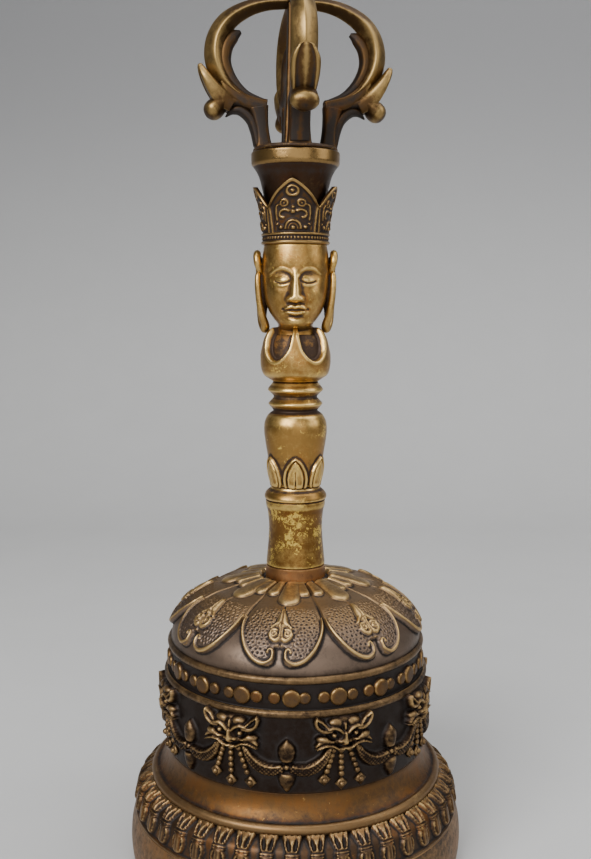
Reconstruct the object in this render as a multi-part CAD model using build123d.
"""A ritual hand bell of cast brass: a flared bell, a handle stacked on a tie rod and a clapper inside.

The handle's castings are threaded over one long tie rod. The rod screws into the foot of the
central prong at the top, and is drawn up inside the bell by a washer, a lock nut and an eye nut.
A wire ring hangs in the eye, and the clapper hangs in the ring.

Millimetres, +Z up, origin at the centre of the rim that the bell stands on. The face looks along -Y.
"""
from build123d import *
from math import acos, degrees, pi, sqrt
import os

# ---------------------------------------------------------------- bell
mouth_r = 46.1            # outer radius of the sound bow, the thick plain lip
lip_h = 15.1              # height of the plain lip
lip_draw_in = 0.6         # how far the lip's foot is drawn in below its widest point
lip_top_in = 1.2          # how far the lip's top edge stands in from its widest point
lip_t = 5.6               # thickness of the lip at the mouth
rim_round = 0.8           # rounding of the rim's two edges
band_h = 10.2             # height of the sloping petal band above the lip
ledge_share = 0.315       # how far out from the waist to the lip's radius the round ledge stands
ledge_wire = 1.1          # radius of that ledge's round section
ledge_foot = 0.3          # plain step under the ledge
flare_h = 5.3             # height of the concave flare above the ledge
waist_r = 35.5            # outer radius of the plain frieze wall
frieze_h = 19.2           # height of the frieze wall above the flare
ridge_h = 1.8             # height of each ridge of the bead band
ridge_out = 0.1           # how far the lower ridge's edges stand out from the frieze wall
upper_ridge_in = 0.8      # how far the upper ridge stands in from the lower one
ridge_crown = 0.3         # how far each ridge swells between its edges
bead_band_h = 6.8         # height of the sunk wall between the two ridges
bead_band_in = 1.1        # how far that wall is sunk below the frieze wall
dome_rise = 16.3          # height of the dome above the upper ridge
wall = 3.8                # thickness of the casting above the lip
seat_margin = 0.7         # how much wider the flat seat on the dome is than the collar on it
seat_sink = 0.5           # how far the outer seat is cut into the dome

# ---------------------------------------------------------------- tie rod and its nuts
rod_r = 2.0               # hand-threaded tie rod
rod_clearance = 0.2       # radial gap between the rod and each bore that it passes through
thread_clearance = 0.02   # radial gap in a threaded bore
washer_r = 8.0
washer_t = 1.0
nut_across_flats = 7.0
nut_h = 3.2
rod_in_prong = 5.0        # how far the rod screws into the central prong
blind_gap = 0.8           # room past the rod's end in a blind thread

# ---------------------------------------------------------------- handle, from the dome upwards
collar_h = 3.9
collar_r = 8.3
collar_top_r = 8.0
spool_h = 18.1
spool_waist_r = 7.25
spool_end_r = 8.1
cap_ring_h = 3.8
cap_ring_r = 8.4
cap_ring_top_r = 6.2
vase_h = 28.2
vase_foot_r = 6.2
vase_belly_r = 8.5
vase_ring_r = 7.4
vase_groove_r = 5.9
bulb_h = 12.6             # lotus bulb below the head
bulb_r = 9.5
bulb_foot_r = 6.5
bulb_top_r = 7.0
hollows = 5               # scooped hollows between the bulb's petals
neck_r = 4.8
chin_drop = 1.0           # gap between the top of the bulb and the jaw
head_h = 22.6             # from jaw to the ledge that carries the crown
head_r = 8.4
brow_ledge = 0.5          # width of the ledge that the crown sits on
tenon_h = 4.8
ear_reach = 10.9          # half width over the ears
ear_w = 4.6               # front to back
ear_h = 21.0
crown_gap = 0.1           # radial gap between tenon and crown
crown_t = 0.9
crown_h = 16.1
crown_flare = 2.3         # how much wider the leaf tips stand than the band
crown_shoulder = 10.3     # height of a leaf's shoulders above the band's foot
crown_leaves = 5
capital_h = 19.0
capital_foot_in = 0.2     # how far the capital's foot stays inside the tenon's edge
capital_r = 11.5
capital_rim_h = 2.1

# ---------------------------------------------------------------- vajra top
vajra_turn = 6.0          # degrees that the prongs are screwed past the face
plate_r = 11.1
plate_t = 1.2
prong_count = 4
prong_rise = 37.4         # height of the curved prongs above the plate
prong_reach = 25.3        # radius to the tip of a prong's outward leaf
prong_foot_t = 4.1        # radial thickness of a prong's foot
prong_foot_in = 0.6       # how far the foot stays inside the plate's edge
prong_half_w = 3.2        # half thickness of a prong, side to side
prong_tip_half_w = 1.8    # half thickness where it meets the central prong
core_foot = 3.3           # half width of the square central prong at its foot
core_top = 2.0            # half width where the curved prongs meet it
finial_h = 4.7            # height of the finial above the curved prongs
finial_half_w = 2.5

# ---------------------------------------------------------------- clapper
eye_boss_r = 4.0
eye_boss_h = 6.0
eye_r = 3.6               # centreline radius of the eye under the nut
eye_wire = 1.3
eye_sink = 0.7            # how far the eye's wire runs up into its boss
ring_r = 5.5              # centreline radius of the wire ring
ring_wire = 1.1
loop_r = 3.4              # centreline radius of the clapper's own eye
loop_wire = 1.2
hang_gap = 0.15           # gap left between two hanging wires
ball_r = 8.5
ball_clear_floor = 4.6    # height of the clapper ball above the surface
shank_r = 1.7
shank_foot_r = 2.1
shank_tail = 1.0          # how far the peened end stands out below the ball

# ---------------------------------------------------------------- radii and heights worked out from the above
lip_foot_r = mouth_r - lip_draw_in
mouth_bore_r = mouth_r - lip_t
ledge_r = waist_r + (mouth_r - waist_r) * ledge_share
band_top_z = lip_h + band_h
ledge_z = band_top_z + ledge_foot + ledge_wire
frieze_z = ledge_z + ledge_wire + flare_h
shoulder_z = frieze_z + frieze_h
bead_foot_z = shoulder_z + ridge_h
bead_top_z = bead_foot_z + bead_band_h
dome_z = bead_top_z + ridge_h
ridge_r = waist_r + ridge_out
bead_wall_r = waist_r - bead_band_in
upper_ridge_r = ridge_r - upper_ridge_in
dome_r = upper_ridge_r - 0.5
seat_r = collar_r + seat_margin
seat_z = dome_z + dome_rise * sqrt(1 - (seat_r / dome_r) ** 2)
inner_r = waist_r - wall
dome_in_r = inner_r - 0.9
dome_in_z = dome_z - wall - ridge_h
washer_seat_z = seat_z - wall - seat_sink

tenon_r = head_r - brow_ledge
capital_foot_r = tenon_r - capital_foot_in

spool_z = seat_z + collar_h
cap_z = spool_z + spool_h
vase_z = cap_z + cap_ring_h
bulb_z = vase_z + vase_h
bulb_top_z = bulb_z + bulb_h
jaw_z = bulb_top_z + chin_drop
brow_z = jaw_z + head_h
tenon_z = brow_z + tenon_h
capital_top_z = tenon_z + capital_h
plate_top_z = capital_top_z + plate_t
prong_top_z = plate_top_z + prong_rise
total_h = prong_top_z + finial_h

nut_top_z = washer_seat_z - washer_t
boss_top_z = nut_top_z - nut_h
boss_foot_z = boss_top_z - eye_boss_h
eye_z = boss_foot_z - (eye_r - eye_sink)
ring_pivot_z = eye_z - eye_r
ring_z = ring_pivot_z + eye_wire + ring_wire + hang_gap - ring_r
loop_pivot_z = ring_z - ring_r
loop_z = loop_pivot_z + ring_wire + loop_wire + hang_gap - loop_r
ball_z = ball_clear_floor + ball_r


def turned(draw):
    """A solid of revolution about Z; draw() lays out a closed outline in the XZ plane."""
    with BuildPart() as part:
        with BuildSketch(Plane.XZ):
            with BuildLine():
                draw()
            make_face()
        revolve(axis=Axis.Z)
    return part.part


def drill(radius, z_low, z_high):
    """A round cutter on the Z axis between two heights."""
    return Pos(0, 0, (z_low + z_high) / 2) * Cylinder(radius, z_high - z_low)


def bell_shell():
    """The cast bell: lip, petal band, ledge, flare, frieze wall, bead band and dome, open below."""

    def outline():
        ledge_low, ledge_high = ledge_z - ledge_wire, ledge_z + ledge_wire
        Polyline((mouth_bore_r + rim_round, 0), (lip_foot_r - rim_round, 0))
        RadiusArc((lip_foot_r - rim_round, 0), (lip_foot_r, rim_round), -rim_round)
        Spline((lip_foot_r, rim_round), (mouth_r, lip_h * 0.4), (mouth_r - lip_top_in, lip_h))
        ThreePointArc(
            (mouth_r - lip_top_in, lip_h),
            (mouth_r - 2.5, lip_h + band_h * 0.6),
            (ledge_r, ledge_low),
        )
        ThreePointArc((ledge_r, ledge_low), (ledge_r + ledge_wire, ledge_z), (ledge_r, ledge_high))
        Spline(
            (ledge_r, ledge_high),
            (waist_r, frieze_z),
            tangents=[(-1, 0.25), (0, 1)],
        )
        Polyline((waist_r, frieze_z), (waist_r, shoulder_z), (ridge_r, shoulder_z))
        ThreePointArc(
            (ridge_r, shoulder_z),
            (ridge_r + ridge_crown, shoulder_z + ridge_h / 2),
            (ridge_r, bead_foot_z),
        )
        Polyline(
            (ridge_r, bead_foot_z),
            (bead_wall_r, bead_foot_z),
            (bead_wall_r, bead_top_z),
            (upper_ridge_r, bead_top_z),
        )
        ThreePointArc(
            (upper_ridge_r, bead_top_z),
            (upper_ridge_r + ridge_crown, bead_top_z + ridge_h / 2),
            (dome_r, dome_z),
        )
        EllipticalCenterArc((0, dome_z), dome_r, dome_rise, 0, arc_size=degrees(acos(seat_r / dome_r)))
        Polyline((seat_r, seat_z), (0, seat_z), (0, washer_seat_z), (seat_r, washer_seat_z))
        Spline(
            (seat_r, washer_seat_z),
            (dome_in_r * 0.8, dome_z + dome_rise * 0.36),
            (inner_r, dome_in_z),
            tangents=[(1, -0.1), (0, -1)],
        )
        Line((inner_r, dome_in_z), (inner_r, frieze_z + 2))
        Spline(
            (inner_r, frieze_z + 2),
            (inner_r + (mouth_bore_r - inner_r) * 0.73, lip_h + band_h * 0.3),
            (mouth_bore_r, rim_round),
            tangents=[(0, -1), (0, -1)],
        )
        RadiusArc((mouth_bore_r, rim_round), (mouth_bore_r + rim_round, 0), -rim_round)

    return turned(outline) - drill(rod_r + rod_clearance, washer_seat_z - 1, seat_z + 1)


def tie_rod():
    """One long threaded rod from inside the eye nut to inside the central prong."""
    low, high = boss_foot_z + blind_gap, plate_top_z + rod_in_prong
    return drill(rod_r, low, high)


def crown_washer():
    return drill(washer_r, nut_top_z, washer_seat_z) - drill(
        rod_r + rod_clearance, nut_top_z - 1, washer_seat_z + 1
    )


def lock_nut():
    hexagon = RegularPolygon(nut_across_flats / 2, 6, major_radius=False)
    nut = Pos(0, 0, boss_top_z) * extrude(hexagon, nut_h)
    return nut - drill(rod_r + thread_clearance, boss_top_z - 1, nut_top_z + 1)


def eye_nut():
    """A round boss with a blind thread and a closed eye below it, in the YZ plane."""
    boss = drill(eye_boss_r, boss_foot_z, boss_top_z)
    boss = chamfer(boss.edges().group_by(Axis.Z)[0], 0.8)
    eye = Pos(0, 0, eye_z) * Rot(0, 90, 0) * Torus(eye_r, eye_wire)
    blind_end = boss_foot_z + blind_gap / 2
    return boss + eye - drill(rod_r + thread_clearance, blind_end, boss_top_z + 1)


def clapper_ring():
    """A closed wire ring in the XZ plane, hanging in the eye."""
    return Pos(0, 0, ring_z) * Rot(90, 0, 0) * Torus(ring_r, ring_wire)


def clapper_shank():
    """A tapered shank with an eye at its top, in the YZ plane, and its foot peened under the ball."""
    loop = Pos(0, 0, loop_z) * Rot(0, 90, 0) * Torus(loop_r, loop_wire)
    foot_z = ball_z - ball_r - shank_tail
    top_z = loop_z - loop_r

    def outline():
        Polyline(
            (0, foot_z),
            (shank_foot_r - 0.6, foot_z),
            (shank_foot_r, foot_z + 0.6),
            (shank_foot_r, ball_z + ball_r),
            (shank_r, top_z),
            (0, top_z),
            (0, foot_z),
        )

    return turned(outline) + loop


def clapper_ball():
    """The striking ball, bored through for the shank's foot."""
    return Pos(0, 0, ball_z) * Sphere(ball_r) - drill(shank_foot_r, 0, 2 * ball_z)


def base_collar():
    bore = drill(rod_r + rod_clearance, seat_z - 1, spool_z + 1)

    def outline():
        Polyline((0, spool_z), (0, seat_z), (collar_r - 0.3, seat_z))
        Line((collar_r - 0.3, seat_z), (collar_r, seat_z + 0.4))
        Line((collar_r, seat_z + 0.4), (collar_top_r, spool_z - 0.3))
        Polyline((collar_top_r, spool_z - 0.3), (collar_top_r - 0.3, spool_z), (0, spool_z))

    return turned(outline) - bore


def handle_spool():
    """The concave barrel that the hand holds."""
    edge = 0.3

    def outline():
        Polyline((0, cap_z), (0, spool_z), (collar_top_r - edge, spool_z))
        Line((collar_top_r - edge, spool_z), (collar_top_r, spool_z + edge))
        Spline(
            (collar_top_r, spool_z + edge),
            (spool_waist_r, spool_z + spool_h * 0.6),
            (spool_end_r, cap_z - edge),
        )
        Polyline((spool_end_r, cap_z - edge), (spool_end_r - edge, cap_z), (0, cap_z))

    return turned(outline) - drill(rod_r + rod_clearance, spool_z - 1, cap_z + 1)


def spool_cap_ring():
    """A half-round turned ring that caps the spool."""
    edge = 0.3

    def outline():
        Polyline((0, vase_z), (0, cap_z), (spool_end_r - edge, cap_z))
        Line((spool_end_r - edge, cap_z), (spool_end_r, cap_z + edge))
        Spline(
            (spool_end_r, cap_z + edge),
            (cap_ring_r, cap_z + cap_ring_h * 0.35),
            (cap_ring_top_r, vase_z),
        )
        Line((cap_ring_top_r, vase_z), (0, vase_z))

    return turned(outline) - drill(rod_r + rod_clearance, cap_z - 1, vase_z + 1)


def vase_grip():
    """A vase shape with two sharp turned rings above it, divided by three grooves."""
    lower_groove = vase_z + vase_h * 0.716
    middle_groove = vase_z + vase_h * 0.865
    lower_ring = (lower_groove + middle_groove) / 2
    upper_ring = (middle_groove + bulb_z) / 2

    def outline():
        Line((0, vase_z), (vase_foot_r, vase_z))
        Spline(
            (vase_foot_r, vase_z),
            (vase_belly_r - 0.8, vase_z + vase_h * 0.26),
            (vase_belly_r, vase_z + vase_h * 0.54),
            (vase_groove_r, lower_groove),
        )
        ThreePointArc(
            (vase_groove_r, lower_groove), (vase_ring_r, lower_ring), (vase_groove_r, middle_groove)
        )
        ThreePointArc(
            (vase_groove_r, middle_groove), (vase_ring_r, upper_ring), (vase_groove_r, bulb_z)
        )
        Polyline((vase_groove_r, bulb_z), (0, bulb_z), (0, vase_z))

    return turned(outline) - drill(rod_r + rod_clearance, vase_z - 1, bulb_z + 1)


def head_and_lotus():
    """One casting: the lotus bulb with its scooped hollows, the neck, the head and the long ears."""

    def bulb_outline():
        Line((0, bulb_z), (vase_groove_r, bulb_z))
        Spline(
            (vase_groove_r, bulb_z),
            (bulb_r, bulb_z + bulb_h * 0.4),
            (bulb_top_r, bulb_top_z),
        )
        Polyline((bulb_top_r, bulb_top_z), (0, bulb_top_z), (0, bulb_z))

    def head_outline():
        Polyline((0, brow_z), (0, bulb_top_z - 2), (neck_r, bulb_top_z - 2), (neck_r, jaw_z))
        Spline(
            (neck_r, jaw_z),
            (head_r * 0.9, jaw_z + head_h * 0.3),
            (head_r, brow_z - head_h * 0.25),
            (head_r, brow_z),
        )
        Line((head_r, brow_z), (0, brow_z))

    scoop_height = bulb_h * 0.40
    scoop = scale(Sphere(1), (3.4, 3.0, scoop_height))
    scoop = Pos(0, -bulb_r - 0.2, bulb_top_z - scoop_height * 0.7) * scoop
    bulb = turned(bulb_outline)
    for i in range(hollows):
        bulb -= Rot(0, 0, 360 / hollows * (i + 0.5)) * scoop
    head = turned(head_outline) + drill(tenon_r, brow_z, tenon_z)
    ear_inner = head_r - 1.6
    ear = Box(ear_reach - ear_inner, ear_w, ear_h)
    ear = fillet(ear.edges().filter_by(Axis.X), ear_w * 0.45)
    ear_z = bulb_top_z + ear_h / 2 - 0.6
    for side in (-1, 1):
        head += Pos(side * (ear_inner + ear_reach) / 2, ear_w * 0.35, ear_z) * ear
    return bulb + head - drill(rod_r + rod_clearance, bulb_z - 1, tenon_z + 1)


def five_leaf_crown():
    """A flared sheet crown: a plain band and five pointed leaves, sitting on the brow ledge."""
    foot_in = tenon_r + crown_gap
    tip_in = foot_in + crown_flare
    top_z = brow_z + crown_h

    def outline():
        Polyline(
            (foot_in, brow_z),
            (foot_in + crown_t, brow_z),
            (foot_in + crown_t, brow_z + 2.8),
            (tip_in + crown_t, top_z),
            (tip_in, top_z),
            (foot_in, brow_z + 2.8),
            (foot_in, brow_z),
        )

    crown = turned(outline)
    leaf_h = crown_h - crown_shoulder
    half_w = pi * (tip_in + crown_t) / crown_leaves + 0.4
    valley = (0, brow_z + crown_shoulder)
    left = (-half_w, top_z + 0.2)
    right = (half_w, top_z + 0.2)
    with BuildPart() as notch:
        with BuildSketch(Plane.XZ):
            with BuildLine():
                ThreePointArc(valley, (-half_w * 0.62, valley[1] + leaf_h * 0.46), left)
                Polyline(left, (-half_w, top_z + 2), (half_w, top_z + 2), right)
                ThreePointArc(right, (half_w * 0.62, valley[1] + leaf_h * 0.46), valley)
            make_face()
        extrude(amount=2 * plate_r)
    for i in range(crown_leaves):
        crown -= Rot(0, 0, 360 / crown_leaves * (i + 0.5)) * notch.part
    return crown


def flared_capital():
    """The flared cup above the crown, with a flat-sided rim."""
    rim_z = capital_top_z - capital_rim_h

    def outline():
        Line((0, tenon_z), (capital_foot_r, tenon_z))
        Spline(
            (capital_foot_r, tenon_z),
            (capital_foot_r + 0.5, tenon_z + capital_h * 0.36),
            (capital_r - 1.8, tenon_z + capital_h * 0.72),
            (capital_r, rim_z),
        )
        Polyline(
            (capital_r, rim_z),
            (capital_r, capital_top_z - 0.4),
            (capital_r - 0.4, capital_top_z),
            (0, capital_top_z),
            (0, tenon_z),
        )

    return turned(outline) - drill(rod_r + rod_clearance, tenon_z - 1, capital_top_z + 1)


def vajra_base_plate():
    edge = 0.3

    def outline():
        Polyline(
            (0, capital_top_z),
            (plate_r - edge, capital_top_z),
            (plate_r, capital_top_z + edge),
            (plate_r, plate_top_z - edge * 1.5),
            (plate_r - edge * 1.5, plate_top_z),
            (0, plate_top_z),
            (0, capital_top_z),
        )

    return turned(outline) - drill(rod_r + rod_clearance, capital_top_z - 1, plate_top_z + 1)


def vajra_center_prong():
    """A square spike, tapering upwards, with a faceted bud at the tip."""
    neck_h = 0.6

    def square(half_w, z):
        return Plane.XY.offset(z) * Rectangle(2 * half_w, 2 * half_w)

    shaft = loft([square(core_foot, plate_top_z), square(core_top, prong_top_z - 3)])
    shaft += loft([square(core_top, prong_top_z - 3), square(core_top, prong_top_z)])
    bud_mid = prong_top_z + neck_h + (finial_h - neck_h) * 0.4
    shaft += loft([square(core_top * 0.9, prong_top_z), square(finial_half_w, bud_mid)])
    shaft += loft([square(finial_half_w, bud_mid), square(0.4, total_h)])
    thread_top = plate_top_z + rod_in_prong + blind_gap
    shaft -= drill(rod_r + thread_clearance, plate_top_z - 1, thread_top)
    return Rot(0, 0, vajra_turn) * shaft


def curved_prong(turn):
    """A prong rising from the plate through an open jaw and arching in to the central prong.

    Its outline is drawn in the XZ plane. A point's radius is a share of prong_reach and its height a
    share of prong_rise. The outline is then given its thickness, tapered and turned about Z.
    """
    foot_out = plate_r - prong_foot_in
    foot_in = foot_out - prong_foot_t

    def at(out, up):
        return (prong_reach * out, plate_top_z + prong_rise * up)

    foot_inner, foot_outer = (foot_in, plate_top_z), (foot_out, plate_top_z)
    foot_corner = (foot_in + prong_foot_t * 0.2, plate_top_z + prong_rise * 0.30)
    tip_low = (core_top, plate_top_z + prong_rise * 0.94)
    tip_high = (core_top, prong_top_z)
    leaf_root, leaf_tip = at(0.885, 0.62), at(1.0, 0.585)
    ball_top, ball_foot = at(0.885, 0.40), at(0.775, 0.315)
    jaw_notch = at(0.617, 0.27)
    with BuildPart() as prong:
        with BuildSketch(Plane.XZ):
            with BuildLine():
                Line(foot_inner, foot_corner)
                Spline(foot_corner, at(0.57, 0.385), at(0.672, 0.58), at(0.47, 0.82), tip_low)
                Line(tip_low, tip_high)
                Spline(tip_high, at(0.494, 0.965), at(0.775, 0.83), leaf_root)
                Line(leaf_root, leaf_tip)
                Spline(leaf_tip, at(0.933, 0.49), ball_top)
                ThreePointArc(ball_top, at(0.925, 0.29), ball_foot)
                Line(ball_foot, jaw_notch)
                Spline(jaw_notch, at(0.482, 0.20), foot_outer)
                Line(foot_outer, foot_inner)
            make_face()
        extrude(amount=prong_half_w, both=True)
    beyond = prong_reach + 2
    with BuildPart() as taper:
        with BuildSketch(Plane.XY):
            with BuildLine():
                Polyline(
                    (core_top, prong_tip_half_w),
                    (foot_out, prong_half_w),
                    (beyond, prong_half_w),
                    (beyond, -prong_half_w),
                    (foot_out, -prong_half_w),
                    (core_top, -prong_tip_half_w),
                    close=True,
                )
            make_face()
        extrude(amount=total_h + prong_rise)
    return Rot(0, 0, vajra_turn + turn) * (prong.part & taper.part)


nodes = {
    "bell_shell": bell_shell(),
    "tie_rod": tie_rod(),
    "crown_washer": crown_washer(),
    "lock_nut": lock_nut(),
    "eye_nut": eye_nut(),
    "clapper_ring": clapper_ring(),
    "clapper_shank": clapper_shank(),
    "clapper_ball": clapper_ball(),
    "base_collar": base_collar(),
    "handle_spool": handle_spool(),
    "spool_cap_ring": spool_cap_ring(),
    "vase_grip": vase_grip(),
    "head_and_lotus": head_and_lotus(),
    "five_leaf_crown": five_leaf_crown(),
    "flared_capital": flared_capital(),
    "vajra_base_plate": vajra_base_plate(),
    "vajra_center_prong": vajra_center_prong(),
}
prong_names = ("right", "back", "left", "front")
for i, side in enumerate(prong_names):
    nodes[f"vajra_prong_{side}"] = curved_prong(360 / prong_count * i)

os.makedirs("parts", exist_ok=True)
for name, solid in nodes.items():
    export_step(solid, f"parts/{name}.step")

print(f"height {total_h:.1f}, mouth {2 * mouth_r:.1f}, seat {seat_z:.2f}, washer seat {washer_seat_z:.2f}")
print(f"ring pivot z {ring_pivot_z:.3f}, loop pivot z {loop_pivot_z:.3f}, ball z {ball_z:.2f}")
